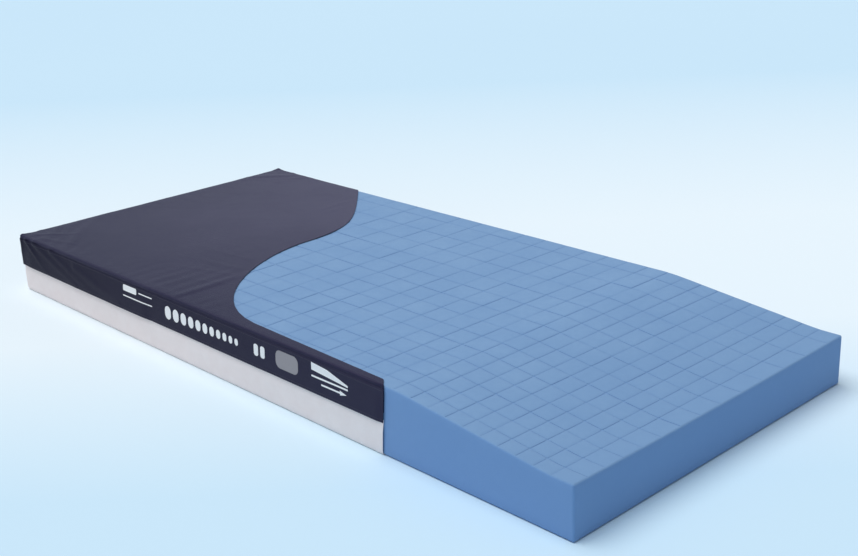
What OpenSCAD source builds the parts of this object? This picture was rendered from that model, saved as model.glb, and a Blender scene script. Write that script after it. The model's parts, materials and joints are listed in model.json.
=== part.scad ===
// Pressure relief mattress with its cover cut back to show the foam core.
// Millimetres. +X towards the foot end, +Y towards the far long side, +Z up.
// The origin is the middle of the underside.
// The core is one block of foam that bends with a hospital bed. It is divided at the bed's
// three hinge lines, and the fabric layers are divided at the same lines.

/* [Foam core] */
// Length from the zip flap at the head to the foam's foot end
mattress_length = 2032; // [2000:1:2080]
// Width over the base cover
mattress_width = 914.4; // [880:0.1:960]
// Thickness of the foam at the head
foam_height = 156; // [145:1:165]
// Thickness of the foam at the foot end
foot_height = 115; // [100:1:130]
// Start of the heel slope
slope_start_x = 563; // [540:1:600]
// End of the heel slope, where the foot end is level again
slope_end_x = 960; // [900:1:980]
// Corner radius in plan at the head end
head_corner_r = 6; // [5:1:30]
// Corner radius in plan at the foot end
foot_corner_r = 5; // [3:1:12]

/* [Bed hinge lines] */
// Line under the hips, where the backrest lifts
hip_x = -230; // [-260:1:-200]
// Line under the top of the thighs, where the knee rest lifts
thigh_x = 45; // [20:1:70]
// Line under the knees
knee_x = 400; // [370:1:430]
// Lean of each face of the foam that squashes at the hips
hip_lean = 31; // [30.5:0.5:33]
// Lean of each face of the foam that squashes at the top of the thighs
thigh_lean = 13.5; // [13:0.5:16]

/* [Covers] */
// Thickness of the cover fabrics
cover_t = 1.0; // [0.8:0.1:1.0]
// Thickness of the fire barrier sock
sock_t = 0.7; // [0.5:0.1:0.7]
// Height of the base cover's wall
base_wall_top = 81.5; // [77.5:0.5:83.5]
// Height of the top cover's lower edge
top_wall_bottom = 97.5; // [95.5:0.5:101.5]
// Where the near side of the cover is cut off, at its top
cover_end_x = 526; // [510:1:540]
// Lean of that cut towards the head on its way down
cut_lean = 5; // [0:1:9]
// How far the fire barrier sock is cut back inside the cover's edge
sock_set_back = 15; // [8:1:25]

/* [Zip] */
// Height of the zip's centre line
zip_z = 89.5; // [88.5:0.5:90.5]
// Width of each zip tape
tape_w = 14; // [12:1:18]
// Height of the flap's hem
flap_bottom = 75.5; // [73.5:0.5:77.5]
// Height of the seam that joins the flap to the top cover
flap_top = 152; // [146:1:155]
// Slider's place with the zip closed
slider_x = -930; // [-940:1:-900]
// Length of the slider
slider_l = 18; // [14:1:22]
// Length of the pull tab below its pivot
pull_l = 13; // [10:1:13]

/* [Hidden] */
$fn = 64;

// Gap between neighbours that touch on the real object
layer_gap = 0.2;
section_gap = 0.1;

// Each layer's distance outside the foam's face: [inner, outer]
sock_d = [0.3, 0.3 + sock_t];
cover_d = [1.2, 1.2 + cover_t];
tape_d = [2.4, 2.9];
coil_d = [2.9, 4.2];
rail_d = [3.2, 4.6];
plate_d = [4.6, 5.4];
pull_d = [5.6, 6.4];
pin_d = [5.4, 6.7];
flap_d = [6.8, 7.8];

foam_half_w = mattress_width / 2 - cover_d[1];
head_x = -mattress_length / 2 + flap_d[1];
foot_x = mattress_length / 2;

foam_z = cover_t + sock_t + 0.5;
foam_top = foam_z + foam_height;
sock_z = cover_t + layer_gap;
cover_top = foam_top + cover_d[1];

coil_h = 2.8;
coil_gap = 0.2;
rail_h = 3.6;
plate_h = 14;
pin_r = 1.0;
pin_cap_r = 1.7;
pin_cap_t = 0.2;
pull_eye_r = 2.6;
pull_w = 4;
pull_clearance = 0.04;
stop_l = 6;
stop_h = 8;
stop_gap = 6;

// Larger than the mattress on every side
far = 1200;

// Edge of the cutaway on the top, from the far side to the near side, as cubic curves.
// Each row is a curve's two handles and its end, and starts where the last one ended.
cut_start = [-614, 460];
cut_curves = [
    [[-438, 302], [-377, 239], [-351, 167]],
    [[-336, 125], [-329, 80], [-329, 27]],
    [[-329, -123], [-182, -411], [50, -425]],
];
cut_near_y = -437;
cut_corner = 21.5;
cut_far_run = 60;
curve_steps = 16;

foam_blue = "#7b9fc9";
sock_white = "#e9e6df";
cover_dark = "#4b4b62";
flap_dark = "#3a3b50";
base_pale = "#cfccd4";
zip_grey = "#4a4d57";
metal_grey = "#a3a6ab";

// ---- Outlines ----

function on_curve(a, b, c, d, t) =
    pow(1 - t, 3) * a + 3 * t * pow(1 - t, 2) * b + 3 * t * t * (1 - t) * c + pow(t, 3) * d;

function curve_start(i) = i == 0 ? cut_start : cut_curves[i - 1][2];

// The line that the top cover is cut along, as points from the far side to the near side
function cut_line() = concat(
    [cut_start + [-cut_far_run, cut_far_run]],
    [for (i = [0 : len(cut_curves) - 1], s = [(i == 0 ? 0 : 1) : curve_steps])
        on_curve(curve_start(i), cut_curves[i][0], cut_curves[i][1], cut_curves[i][2],
                 s / curve_steps)],
    [[cover_end_x - cut_corner, cut_near_y], [cover_end_x, cut_near_y - cut_corner]]
);

// Plan of the mattress, grown by d at the head and both long sides
module plan(d, end_x, end_r = 1) {
    x0 = head_x - d;
    w = foam_half_w + d;
    r = head_corner_r + d;
    union() {
        translate([x0 + r, -w]) square([end_x - end_r - x0 - r, 2 * w]);
        translate([x0, r - w]) square([2 * r, 2 * (w - r)]);
        translate([end_x - 3 * end_r, end_r - w]) square([3 * end_r, 2 * (w - end_r)]);
        for (side = [-1, 1]) {
            translate([x0 + r, side * (w - r)]) circle(r);
            translate([end_x - end_r, side * (w - end_r)]) circle(end_r);
        }
    }
}

// Solid with that plan between two heights
module block(d, z0, z1, end_x = far) {
    translate([0, 0, z0]) linear_extrude(z1 - z0) plan(d, end_x);
}

// Upright band of fabric round the head and both long sides
module band(layer, z0, z1) {
    difference() {
        block(layer[1], z0, z1);
        block(layer[0], z0 - 1, z1 + 1);
    }
}

// Everything on the foot side of the cutaway line, moved back by set_back
module cut_space(set_back = 0) {
    line = cut_line();
    translate([-set_back, 0, -far / 2]) linear_extrude(far)
        polygon(concat(line, [[cover_end_x, -far], [2 * far, -far], [2 * far, far],
                              [line[0][0], far]]));
}

// Everything on the head side of the leaning cut through the walls
module below_cover_end(set_back = 0) {
    translate([cover_end_x - set_back, 0, cover_top]) rotate([0, cut_lean, 0])
        translate([-2 * far, -far, -far]) cube([2 * far, 2 * far, 2 * far]);
}

// ---- Sections between the bed's hinge lines ----

// Keeps the children between two hinge lines. A lean tilts that face about the hinge line.
module between(x_low, x_high, lean_low = 0, lean_high = 0) {
    top = 2 * foam_height;
    intersection() {
        children();
        rotate([90, 0, 0]) linear_extrude(2 * far, center = true) polygon([
            [x_low + section_gap, 0],
            [x_high - section_gap, 0],
            [x_high - section_gap - top * tan(lean_high), top],
            [x_low + section_gap + top * tan(lean_low), top],
        ]);
    }
}

module keep_back() between(-far, hip_x) children();
module keep_seat() between(hip_x, thigh_x) children();
module keep_thigh() between(thigh_x, knee_x) children();
module keep_calf() between(knee_x, far) children();

// ---- Whole layers, before they are divided ----

module foam_core() {
    intersection() {
        rotate([90, 0, 0]) linear_extrude(2 * far, center = true) polygon([
            [head_x, foam_z],
            [foot_x, foam_z],
            [foot_x, foam_z + foot_height],
            [slope_end_x, foam_z + foot_height],
            [slope_start_x, foam_top],
            [head_x, foam_top],
        ]);
        translate([0, 0, foam_z]) linear_extrude(foam_height) plan(0, foot_x, foot_corner_r);
    }
}

// The wedge of foam that squashes when the sections either side of a hinge line fold up
module flex_wedge(x, lean) {
    top = 2 * foam_height;
    side = layer_gap / cos(lean);
    intersection() {
        foam_core();
        rotate([90, 0, 0]) linear_extrude(2 * far, center = true) polygon([
            [x, side / tan(lean)],
            [x + top * tan(lean) - side, top],
            [x - top * tan(lean) + side, top],
        ]);
    }
}

module fire_sock() {
    split_z = base_wall_top;
    intersection() {
        below_cover_end(sock_set_back);
        difference() {
            block(sock_d[1], sock_z, foam_top + sock_d[1]);
            block(sock_d[0], sock_z + sock_t, foam_top + sock_d[0], 2 * far);
            intersection() {
                cut_space(sock_set_back);
                translate([-far, -far, split_z]) cube([3 * far, 2 * far, far]);
            }
        }
    }
}

module base_cover() {
    intersection() {
        below_cover_end();
        difference() {
            block(cover_d[1], 0, base_wall_top);
            block(cover_d[0], cover_t, base_wall_top + 1, 2 * far);
        }
    }
}

module top_cover() {
    intersection() {
        below_cover_end();
        difference() {
            block(cover_d[1], top_wall_bottom, cover_top);
            block(cover_d[0], top_wall_bottom - 1, cover_top - cover_t, 2 * far);
            cut_space();
        }
    }
}

// Skirt over the zip, folded in at its top edge to the seam on the top cover
module zip_flap() {
    intersection() {
        below_cover_end();
        difference() {
            union() {
                band(flap_d, flap_bottom, flap_top);
                band([cover_d[1] + section_gap, flap_d[1]], flap_top - cover_t, flap_top);
            }
            cut_space();
        }
    }
}

// One half of the zip: its tape, and its coil at the edge that meets the other half
module zip_half(side) {
    tape_near = zip_z + side * coil_gap / 2;
    tape_far = zip_z + side * tape_w;
    coil_far = tape_near + side * coil_h;
    union() {
        band(tape_d, min(tape_near, tape_far), max(tape_near, tape_far));
        band([tape_d[0], coil_d[1]], min(tape_near, coil_far), max(tape_near, coil_far));
    }
}

module zip_upper() {
    intersection() {
        below_cover_end();
        difference() {
            zip_half(1);
            cut_space();
        }
    }
}

module zip_lower() {
    intersection() {
        zip_half(-1);
        below_cover_end();
    }
}

// ---- Sub-parts ----

module foam_back() color(foam_blue)
    between(-far, hip_x, 0, hip_lean) foam_core();
module foam_hip_flex() color(foam_blue) flex_wedge(hip_x, hip_lean);
module foam_seat() color(foam_blue)
    between(hip_x, thigh_x, hip_lean, thigh_lean) foam_core();
module foam_thigh_flex() color(foam_blue) flex_wedge(thigh_x, thigh_lean);
module foam_thigh() color(foam_blue)
    between(thigh_x, knee_x, thigh_lean, 0) foam_core();
module foam_calf() color(foam_blue) between(knee_x, far) foam_core();

module fire_sock_back() color(sock_white) keep_back() fire_sock();
module fire_sock_seat() color(sock_white) keep_seat() fire_sock();
module fire_sock_thigh() color(sock_white) keep_thigh() fire_sock();
module fire_sock_calf() color(sock_white) keep_calf() fire_sock();

module base_cover_back() color(base_pale) keep_back() base_cover();
module base_cover_seat() color(base_pale) keep_seat() base_cover();
module base_cover_thigh() color(base_pale) keep_thigh() base_cover();
module base_cover_calf() color(base_pale) keep_calf() base_cover();

module top_cover_back() color(cover_dark) keep_back() top_cover();
module top_cover_seat() color(cover_dark) keep_seat() top_cover();
module top_cover_thigh() color(cover_dark) keep_thigh() top_cover();
module top_cover_calf() color(cover_dark) keep_calf() top_cover();

module zip_flap_back() color(flap_dark) keep_back() zip_flap();
module zip_flap_seat() color(flap_dark) keep_seat() zip_flap();
module zip_flap_thigh() color(flap_dark) keep_thigh() zip_flap();
module zip_flap_calf() color(flap_dark) keep_calf() zip_flap();

module zip_upper_back() color(zip_grey) keep_back() zip_upper();
module zip_upper_seat() color(zip_grey) keep_seat() zip_upper();
module zip_upper_thigh() color(zip_grey) keep_thigh() zip_upper();
module zip_upper_calf() color(zip_grey) keep_calf() zip_upper();

module zip_lower_back() color(zip_grey) keep_back() zip_lower();
module zip_lower_seat() color(zip_grey) keep_seat() zip_lower();
module zip_lower_thigh() color(zip_grey) keep_thigh() zip_lower();
module zip_lower_calf() color(zip_grey) keep_calf() zip_lower();

// A box on the near long side, from x, with a layer's depth, centred on the zip's height
module near_box(x, l, layer, z, h) {
    translate([x, -foam_half_w - layer[1], z]) cube([l, layer[1] - layer[0], h]);
}

// Round pin on the near long side, standing out of the mattress
module near_round(x, layer, r) {
    translate([x, -foam_half_w - layer[0], zip_z]) rotate([90, 0, 0])
        cylinder(h = layer[1] - layer[0], r = r);
}

// Clip over the closed end of the zip
module zip_stop() color(metal_grey)
    near_box(slider_x - slider_l / 2 - stop_gap - stop_l, stop_l,
             [coil_d[1] + section_gap / 2, plate_d[1]], zip_z - stop_h / 2, stop_h);

// Slider: a front plate, a rail above and below the coils, and the pin that holds the pull tab
module zip_slider() color(metal_grey) {
    x = slider_x - slider_l / 2;
    union() {
        near_box(x, slider_l, plate_d, zip_z - plate_h / 2, plate_h);
        near_box(x, slider_l, rail_d, zip_z - plate_h / 2, rail_h);
        near_box(x, slider_l, rail_d, zip_z + plate_h / 2 - rail_h, rail_h);
        near_round(slider_x, pin_d, pin_r);
        near_round(slider_x, [pin_d[1] - pin_cap_t, pin_d[1]], pin_cap_r);
    }
}

// Pull tab: an eye on the slider's pin and a tongue that hangs from it
module zip_pull() color(metal_grey)
    difference() {
        union() {
            near_round(slider_x, pull_d, pull_eye_r);
            near_box(slider_x - pull_w / 2, pull_w, pull_d, zip_z - pull_l, pull_l);
        }
        near_round(slider_x, [pull_d[0] - 1, pull_d[1] + 1], pin_r + pull_clearance);
    }

foam_back();
foam_hip_flex();
foam_seat();
foam_thigh_flex();
foam_thigh();
foam_calf();
fire_sock_back();
fire_sock_seat();
fire_sock_thigh();
fire_sock_calf();
base_cover_back();
base_cover_seat();
base_cover_thigh();
base_cover_calf();
top_cover_back();
top_cover_seat();
top_cover_thigh();
top_cover_calf();
zip_flap_back();
zip_flap_seat();
zip_flap_thigh();
zip_flap_calf();
zip_upper_back();
zip_upper_seat();
zip_upper_thigh();
zip_upper_calf();
zip_lower_back();
zip_lower_seat();
zip_lower_thigh();
zip_lower_calf();
zip_stop();
zip_slider();
zip_pull();
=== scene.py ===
"""Pressure relief mattress: the looks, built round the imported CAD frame. Metres throughout."""

import json
import math

import bmesh
import bpy
import numpy as np
from mathutils import Matrix, Vector, noise
from mathutils.bvhtree import BVHTree


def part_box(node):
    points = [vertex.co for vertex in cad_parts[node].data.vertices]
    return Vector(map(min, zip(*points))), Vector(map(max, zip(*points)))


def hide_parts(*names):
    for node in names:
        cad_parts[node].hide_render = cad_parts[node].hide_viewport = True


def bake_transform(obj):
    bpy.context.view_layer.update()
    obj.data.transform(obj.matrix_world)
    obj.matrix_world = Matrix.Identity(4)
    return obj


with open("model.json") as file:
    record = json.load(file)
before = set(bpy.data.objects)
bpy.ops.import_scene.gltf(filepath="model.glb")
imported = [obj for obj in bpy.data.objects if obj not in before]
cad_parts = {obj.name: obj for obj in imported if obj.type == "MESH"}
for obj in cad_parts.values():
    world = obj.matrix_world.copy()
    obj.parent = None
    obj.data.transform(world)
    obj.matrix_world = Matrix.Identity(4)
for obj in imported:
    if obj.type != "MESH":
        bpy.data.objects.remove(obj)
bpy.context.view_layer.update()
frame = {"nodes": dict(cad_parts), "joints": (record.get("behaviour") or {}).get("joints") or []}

MM = 0.001
SECTIONS = ("back", "seat", "thigh", "calf")


# ---- Places and sizes that come from the frame ----

def span(*nodes):
    """Lowest and highest corner of several CAD nodes together."""
    boxes = [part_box(n) for n in nodes]
    low = Vector([min(b[0][k] for b in boxes) for k in range(3)])
    high = Vector([max(b[1][k] for b in boxes) for k in range(3)])
    return low, high


def layer_nodes(layer, sections=SECTIONS):
    return [f"{layer}_{s}" for s in sections]


def vertices_of(*nodes):
    return np.array([v.co for n in nodes for v in frame["nodes"][n].data.vertices])


FOAM_NODES = [n for n in frame["nodes"] if n.startswith("foam_")]
foam_low, foam_high = span(*FOAM_NODES)
base_high = span(*layer_nodes("base_cover"))[1]
top_low, top_high = span(*layer_nodes("top_cover"))
flap_low, flap_high = span(*layer_nodes("zip_flap"))
sock_low, sock_high = span(*layer_nodes("fire_sock"))
zip_low, zip_high = span(*layer_nodes("zip_upper"))
lower_zip_low, lower_zip_high = span(*layer_nodes("zip_lower"))

HALF_W = foam_high.y
HEAD_X, FOOT_X = foam_low.x, foam_high.x
FOAM_Z, FOAM_TOP = foam_low.z, foam_high.z
COVER_D = top_high.y - HALF_W
SOCK_D = sock_high.y - HALF_W
FLAP_D = flap_high.y - HALF_W
ZIP_D = zip_high.y - HALF_W

calf = vertices_of("foam_calf")
FOOT_TOP = calf[calf[:, 0] > FOOT_X - MM, 2].max()
SLOPE_START_X = calf[calf[:, 2] > FOAM_TOP - 0.1 * MM, 0].max()
SLOPE_END_X = calf[abs(calf[:, 2] - FOOT_TOP) < 0.1 * MM, 0].min()

# The covers' cut end leans: where it is at the top, and where it meets the floor
base = vertices_of(*layer_nodes("base_cover"))
COVER_FLOOR_END_X = base[base[:, 2] < 0.1 * MM, 0].max()
COVER_END_X = COVER_FLOOR_END_X + (flap_high.x - COVER_FLOOR_END_X) * top_high.z / flap_high.z

JOINTS = {j["name"]: j for j in frame["joints"]}
HIP_X = JOINTS["back_bend"]["pos_m"][0]
THIGH_X = JOINTS["thigh_bend"]["pos_m"][0]
KNEE_X = JOINTS["knee_bend"]["pos_m"][0]

# How far each side of a hinge line the foam and fabric take the bend
HIP_REACH = 0.155
THIGH_REACH = 0.070
KNEE_REACH = 0.120

# Plan corner radii, and the radii of the foam's top and bottom edges
foam_side = vertices_of(*FOAM_NODES)
foam_side = foam_side[foam_side[:, 1] > HALF_W - 0.1 * MM, 0]
HEAD_R = foam_side.min() - HEAD_X
FOOT_R = FOOT_X - foam_side.max()
FOAM_EDGE_R = 0.005
FLOOR_EDGE_R = 0.002

# Cells in the foam's top. Along the length there is a first cell, then a run of small cells down the
# heel slope, then larger ones. Across the width the cells grow from the near side to the far side.
# Each run of cells has its first pitch, its growth from one cell to the next, and its count.
FIRST_CUT_ALONG = 0.054
HEEL_CELLS = (0.0425, 1.0185, 9)
BODY_CELLS = (0.0597, 1.038, 20)
FIRST_CUT_ACROSS = 0.041
CELLS_ACROSS = (0.0494, 1.055, 12)


def smooth(t):
    t = np.clip(t, 0.0, 1.0)
    return t * t * (3 - 2 * t)


def run_of_cells(pitch, growth, count):
    """Distances of the cuts along a run of cells from the run's start."""
    return np.cumsum(pitch * growth ** np.arange(count))


def cut_places_along():
    """Where the foam's cuts cross the length."""
    heel_end = FIRST_CUT_ALONG + run_of_cells(*HEEL_CELLS)
    body = heel_end[-1] + run_of_cells(*BODY_CELLS)
    from_foot = np.concatenate([[FIRST_CUT_ALONG], heel_end, body])
    places = np.sort(FOOT_X - from_foot)
    return places[places > HEAD_X + FIRST_CUT_ALONG]


CUTS_X = cut_places_along()
CUTS_Y = FIRST_CUT_ACROSS - HALF_W + np.concatenate([[0.0], run_of_cells(*CELLS_ACROSS)])


def nearest_cut(x):
    return float(CUTS_X[np.argmin(abs(CUTS_X - x))])


# Pieces are divided at a cut in the middle of the seat and of the thigh, where nothing bends
SEAT_SPLIT_X = nearest_cut((HIP_X + HIP_REACH + THIGH_X - THIGH_REACH) / 2)
THIGH_SPLIT_X = nearest_cut((THIGH_X + KNEE_X) / 2)
SPLITS_X = (SEAT_SPLIT_X, THIGH_SPLIT_X)


def zones():
    """Each zone: its name, its x range, and the two bodies and hinge line that it bends between."""
    return [
        ("back", -9.0, SEAT_SPLIT_X, "back_section", "seat_section", HIP_X, HIP_REACH),
        ("seat", SEAT_SPLIT_X, THIGH_SPLIT_X, "seat_section", "thigh_section", THIGH_X, THIGH_REACH),
        ("calf", THIGH_SPLIT_X, 9.0, "thigh_section", "calf_section", KNEE_X, KNEE_REACH),
    ]


def cut_line():
    """The top cover's cut edge in plan, from the far side to the near side, read from the CAD cover."""
    points = vertices_of(*layer_nodes("top_cover"))
    points = points[points[:, 2] > top_high.z - 0.1 * MM]
    side = top_high.y - 0.5 * MM
    far_end = points[points[:, 1] > side]
    inner = points[(abs(points[:, 1]) < side) & (points[:, 0] > HEAD_X + 2 * HEAD_R)]
    line = [far_end[np.argmax(far_end[:, 0])][:2]]
    for p in inner[np.argsort(-inner[:, 1])]:
        on_hinge = min(abs(p[0] - x) for x in (HIP_X, THIGH_X, KNEE_X)) < 0.2 * MM
        if not on_hinge and np.linalg.norm(p[:2] - line[-1]) > 2 * MM:
            line.append(p[:2])
    near_end = points[points[:, 1] < -side]
    line = np.array(line + [near_end[np.argmax(near_end[:, 0])][:2]])
    before = line[0] + (line[0] - line[1]) / np.linalg.norm(line[0] - line[1]) * 0.06
    corner_y = line[-1][1] - (COVER_END_X - line[-1][0])
    return np.vstack([before, line, [COVER_END_X, corner_y], [COVER_END_X, -1.0]])


CUT_LINE = cut_line()


def beyond_cut(x, y, set_back=0.0):
    """Signed distance past the cut line: positive where the cover is cut away."""
    p = np.stack([np.ravel(x) + set_back, np.ravel(y)], -1)
    best = np.full(len(p), 1e9)
    for a, b in zip(CUT_LINE[:-1], CUT_LINE[1:]):
        d = b - a
        t = np.clip(((p - a) @ d) / (d @ d), 0, 1)
        gap = p - a - t[:, None] * d
        best = np.minimum(best, np.hypot(gap[:, 0], gap[:, 1]))
    line_x = np.interp(p[:, 1], CUT_LINE[::-1, 1], CUT_LINE[::-1, 0])
    return (best * np.where(p[:, 0] > line_x, 1, -1)).reshape(np.shape(x))


def cover_end_at(z):
    """Where the covers' leaning cut end is at each height."""
    return COVER_END_X + (COVER_FLOOR_END_X - COVER_END_X) * (top_high.z - z) / top_high.z


def past_end(x, y, z):
    """Positive past the covers' cut end."""
    return x - cover_end_at(z)


def uncovered(x, y, z):
    """Positive where the top cover, its flap and the upper half of the zip are cut away."""
    return np.maximum(beyond_cut(x, y), past_end(x, y, z))


# ---- Mesh helpers ----

def add_to_scene(name, data):
    obj = bpy.data.objects.new(name, data)
    bpy.context.scene.collection.objects.link(obj)
    return obj


def new_object(name, verts, faces):
    mesh = bpy.data.meshes.new(name)
    mesh.from_pydata([tuple(v) for v in verts], [], [tuple(f) for f in faces])
    mesh.update()
    return add_to_scene(name, mesh)


def points_of(obj):
    return np.array([v.co for v in obj.data.vertices])


def normals_of(obj):
    return np.array([v.vector for v in obj.data.vertex_normals])


def set_points(obj, points):
    obj.data.vertices.foreach_set("co", points.ravel())
    obj.data.update()


def replace_mesh(obj, bm):
    bm.to_mesh(obj.data)
    bm.free()
    obj.data.update()


def apply_modifiers(obj):
    dg = bpy.context.evaluated_depsgraph_get()
    mesh = bpy.data.meshes.new_from_object(obj.evaluated_get(dg), depsgraph=dg)
    old = obj.data
    obj.modifiers.clear()
    obj.data = mesh
    bpy.data.meshes.remove(old)


def shade(obj, angle):
    obj.data.polygons.foreach_set("use_smooth", [True] * len(obj.data.polygons))
    obj.data.set_sharp_from_angle(angle=math.radians(angle))


def thicken(obj, thickness):
    """Turns a sheet into a closed skin. The sheet stays as the outside."""
    m = obj.modifiers.new("skin", "SOLIDIFY")
    m.thickness = thickness
    m.offset = -1
    apply_modifiers(obj)


def copy_of(obj, name):
    made = obj.copy()
    made.data = obj.data.copy()
    made.name = made.data.name = name
    bpy.context.scene.collection.objects.link(made)
    return made


def cut_away(obj, field, short=0.0):
    """Deletes the mesh where field(x, y, z) is positive, along a clean line, that far short of it."""
    bm = bmesh.new()
    bm.from_mesh(obj.data)
    bm.verts.ensure_lookup_table()
    co = np.array([v.co for v in bm.verts])
    value = field(co[:, 0] + short, co[:, 1], co[:, 2])
    snap = 0.4 * MM
    value[abs(value) < snap] = 0.0
    values = {v: float(f) for v, f in zip(bm.verts, value)}
    crossing = [e for e in bm.edges if values[e.verts[0]] * values[e.verts[1]] < 0]
    for e in crossing:
        a, b = e.verts
        share = values[a] / (values[a] - values[b])
        _, v = bmesh.utils.edge_split(e, a, share)
        values[v] = 0.0
    bmesh.ops.connect_verts(bm, verts=[v for v, f in values.items() if f == 0.0])
    gone = [f for f in bm.faces if sum(values[v] for v in f.verts) > 0]
    bmesh.ops.delete(bm, geom=gone, context="FACES")
    bmesh.ops.delete(bm, geom=[v for v in bm.verts if not v.link_faces], context="VERTS")
    replace_mesh(obj, bm)


def keep_between(obj, x_low, x_high, cap):
    """Keeps the part of a mesh between two x planes, closing a solid at the planes if cap is set."""
    bm = bmesh.new()
    bm.from_mesh(obj.data)
    for x, normal in ((x_low, (-1, 0, 0)), (x_high, (1, 0, 0))):
        geom = bm.verts[:] + bm.edges[:] + bm.faces[:]
        if not any(normal[0] * (v.co.x - x) > 1e-6 for v in bm.verts):
            continue
        cut = bmesh.ops.bisect_plane(
            bm, geom=geom, dist=0.05 * MM, plane_co=(x, 0, 0), plane_no=normal, clear_outer=True
        )
        if cap:
            edges = [g for g in cut["geom_cut"] if isinstance(g, bmesh.types.BMEdge)]
            edges = [e for e in edges if len(e.link_faces) == 1]
            bmesh.ops.edgenet_fill(bm, edges=edges)
    replace_mesh(obj, bm)


def finisher(material, angle=40, thickness=0.0):
    """What in_zones does to each part of a piece: thickness, material and shading."""

    def finish(piece):
        if thickness:
            thicken(piece, thickness)
        piece.data.materials.append(material)
        shade(piece, angle)

    return finish


def in_zones(obj, name, finish, cap=False):
    """Divides a piece into its zones and finishes each."""
    made = []
    for zone, x_low, x_high, body_a, body_b, hinge, reach in zones():
        x = points_of(obj)[:, 0]
        if x.min() > x_high - MM or x.max() < x_low + MM:
            continue
        piece = copy_of(obj, f"{name}_{zone}")
        keep_between(piece, x_low, x_high, cap)
        if not piece.data.polygons:
            bpy.data.objects.remove(piece)
            continue
        finish(piece)
        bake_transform(piece)
        made.append(piece)
    bpy.data.objects.remove(obj)
    return made


# ---- Surfaces of the mattress ----

class Outline:
    """Plan of the mattress, grown by d on the head end and both long sides."""

    def __init__(self, d, foot_x=FOOT_X, foot_r=FOOT_R):
        self.low, self.high = HEAD_X - d, foot_x
        self.w = HALF_W + d
        self.head_r, self.foot_r = HEAD_R + d, foot_r

    def place(self, x, y, edge_r):
        """Moves points of a square grid onto the rounded plan.
        Returns x, y, how far the surface has dropped over the edge, and the outward direction."""
        x, y = np.broadcast_arrays(np.asarray(x, float), np.asarray(y, float))
        head = x < (self.low + self.high) / 2
        r = np.where(head, self.head_r, self.foot_r)
        end = np.where(head, self.low + r, self.high - r)
        a = np.where(head, np.minimum(x - end, 0), np.maximum(x - end, 0))
        side = self.w - r
        b = np.sign(y) * np.maximum(abs(y) - side, 0)
        m, n = np.maximum(abs(a), abs(b)), np.hypot(a, b)
        scale = np.where(n > 0, m / np.maximum(n, 1e-12), 1.0)
        inset = m - (r - edge_r)
        drop = edge_r - np.sqrt(np.maximum(edge_r**2 - np.maximum(inset, 0) ** 2, 0))
        out = np.stack([a, b], -1) / np.maximum(n, 1e-12)[..., None]
        return x - a + a * scale, y - b + b * scale, drop, out


def fabric_outline(d):
    """Plan of a fabric layer at that distance outside the foam, run on past its cut end."""
    return Outline(d, COVER_END_X + 0.03, 0.002)


def edge_lines(edge_r, steps=7):
    """Distances in from the outline at which the top edge's rounding needs a line."""
    turn = np.linspace(0, math.pi / 2, steps)
    return list(edge_r * (1 - np.cos(turn)))


def corner_lines(d, steps=5):
    """Distances in from the outline at which the head corners' rounding needs a line."""
    return [(HEAD_R + d) * k / steps for k in range(1, steps + 1)]


def merged(values, closest):
    """Sorted values, leaving out any that lies closer than that to the one before."""
    kept = []
    for v in sorted(values):
        if not kept or v - kept[-1] > closest:
            kept.append(v)
    return kept


def spaced(low, high, step, extra, closest):
    """Grid lines from low to high: the extra ones, and others so that no gap is over step."""
    fixed = merged([low, high] + [v for v in extra if low < v < high], closest)
    fixed[-1] = high
    lines = []
    for a, b in zip(fixed[:-1], fixed[1:]):
        n = max(1, math.ceil((b - a) / step - 0.01))
        lines += [a + (b - a) * k / n for k in range(n)]
    return np.array(lines + [high])


def grid(outline, step_x, step_y, lines, extra_x=(), extra_y=(), closest=0.3 * MM):
    """Grid lines along and across a plan: at those distances in from the head end and both sides, at
    the extra places, and others in between."""
    xs = [outline.low + e for e in lines] + list(extra_x)
    ys = [s * (outline.w - e) for e in lines for s in (-1, 1)] + list(extra_y)
    return (spaced(outline.low, outline.high, step_x, xs, closest),
            spaced(-outline.w, outline.w, step_y, ys, closest))


def quads(index):
    """Faces between neighbours in a table of vertex numbers."""
    return np.stack([index[:-1, :-1], index[1:, :-1], index[1:, 1:], index[:-1, 1:]], -1).reshape(-1, 4)


def shell(name, outline, xs, ys, edge_r, height, rings, open_foot):
    """A sheet over the whole plan that turns down over its edges into walls. height(x, y) is its top.
    Each ring is its share of the way from the wall's top down to z, that z, and how far out it moves."""
    gx, gy = np.meshgrid(xs, ys, indexing="ij")
    px, py, drop, out = outline.place(gx, gy, edge_r)
    pz = height(px, py) - drop
    columns, rows = len(ys), len(xs)
    index = np.arange(rows * columns).reshape(rows, columns)
    verts = [np.stack([px, py, pz], -1).reshape(-1, 3)]
    faces = [quads(index)]
    far_side, head = index[::-1, -1], index[0, ::-1][1:]
    near_side, foot = index[1:, 0], index[-1, 1:]
    loop = np.concatenate([far_side, head, near_side] + ([] if open_foot else [foot[:-1]]))
    flat_out = out.reshape(-1, 2)[loop]
    top = verts[0][loop]
    last, count = loop, rows * columns
    for share, z, outward in rings:
        ring = top.copy()
        ring[:, :2] += flat_out * outward
        ring[:, 2] = top[:, 2] + share * (z - top[:, 2])
        ids = np.arange(count, count + len(loop))
        count += len(loop)
        verts.append(ring)
        between = np.stack([last, ids, np.roll(ids, -1), np.roll(last, -1)], -1)
        faces.append(between[:-1] if open_foot else between)
        last = ids
    obj = new_object(name, np.concatenate(verts), np.concatenate(faces))
    return obj, last, rows, columns


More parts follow.
